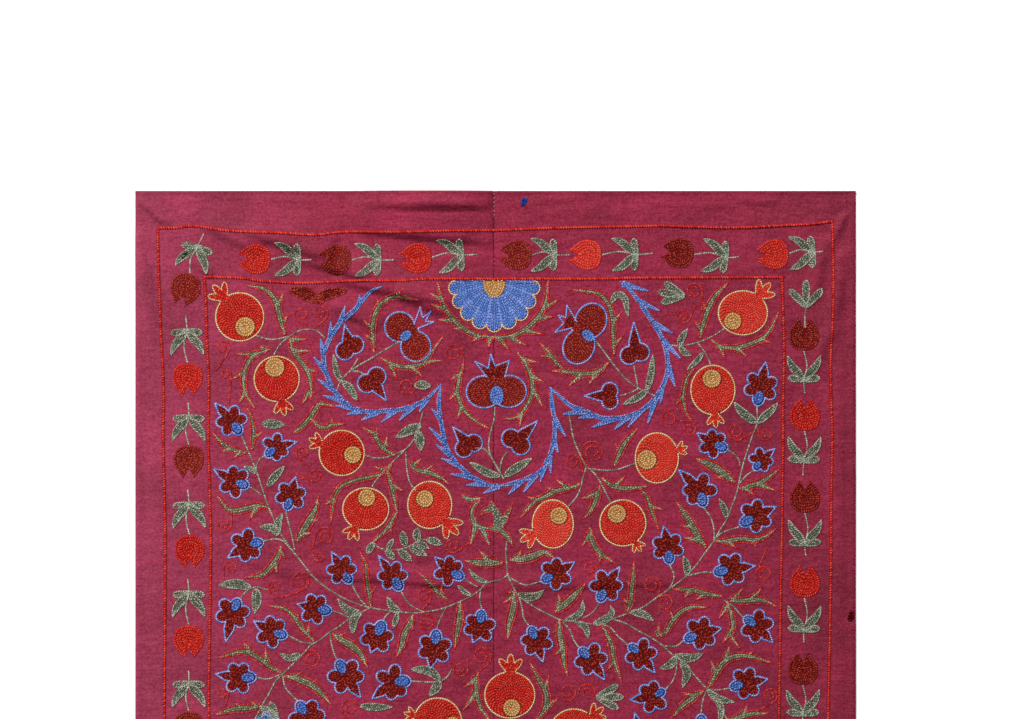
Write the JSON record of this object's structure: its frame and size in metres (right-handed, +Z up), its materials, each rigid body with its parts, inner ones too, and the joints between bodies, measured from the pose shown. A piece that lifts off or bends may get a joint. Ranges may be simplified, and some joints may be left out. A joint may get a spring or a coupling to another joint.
{
  "type": "suzani embroidered textile",
  "caption": "Raspberry silk suzani of joined panels, laid out flat face up with soft folds, a turned hem and chain stitch pomegranates, flowers and tulips; a cover or wall hanging.",
  "frame": {"origin": "on the surface that the cloth lies on, under the middle of its bounding box", "axes": "+X to the right and +Y to the top edge as the face is seen, +Z up out of the embroidered face"},
  "size_m": [0.864, 1.484, 0.0056],
  "materials": {
    "silk": "raspberry plain weave silk with slubs and a soft sheen",
    "thread_red": "bright red silk embroidery thread",
    "thread_maroon": "dark maroon silk embroidery thread",
    "thread_coral": "coral red silk embroidery thread",
    "thread_gold": "straw gold silk embroidery thread",
    "thread_blue": "cornflower blue silk embroidery thread",
    "thread_sage": "sage grey-green silk embroidery thread",
    "sewing_thread": "dark sewing thread of the seam and hem"
  },
  "bodies": {
    "root": {"panel_left": "silk", "panel_right": "silk"}
  },
  "joints": []
}
